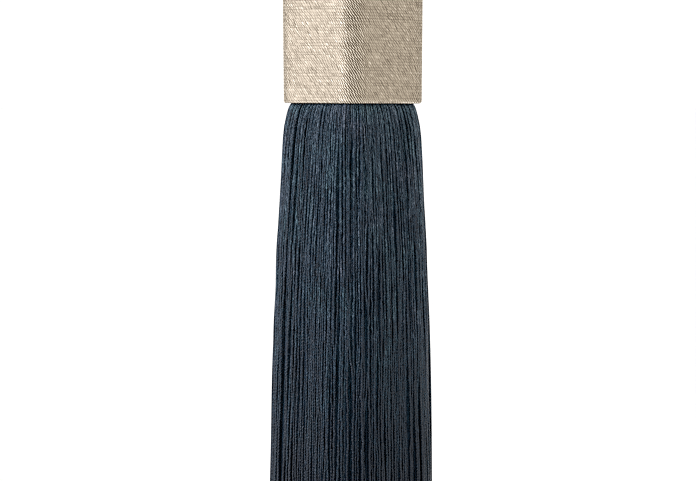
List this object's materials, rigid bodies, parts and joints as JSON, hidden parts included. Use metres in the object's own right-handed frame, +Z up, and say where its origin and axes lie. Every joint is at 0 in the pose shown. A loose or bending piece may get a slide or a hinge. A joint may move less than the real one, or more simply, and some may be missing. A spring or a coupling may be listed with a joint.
{
  "type": "curtain tieback tassel",
  "caption": "Hanging tassel of a curtain tieback: a square head wound with metallic thread, holed at the top for its cord, over a long full skirt of cut yarn.",
  "frame": {"origin": "centre of the head's top face, where the tieback's cord enters the head", "axes": "+Z up along the cord, +X and +Y square to two of the head's four faces"},
  "size_m": [0.0626, 0.0628, 0.222],
  "materials": {
    "metal_thread": "pale champagne twisted metallic thread, wound in close turns, satin glint",
    "yarn": "dark navy twisted viscose yarn, cut ends, soft sheen"
  },
  "bodies": {
    "root": {"head": "metal_thread", "skirt": "yarn"}
  },
  "joints": []
}
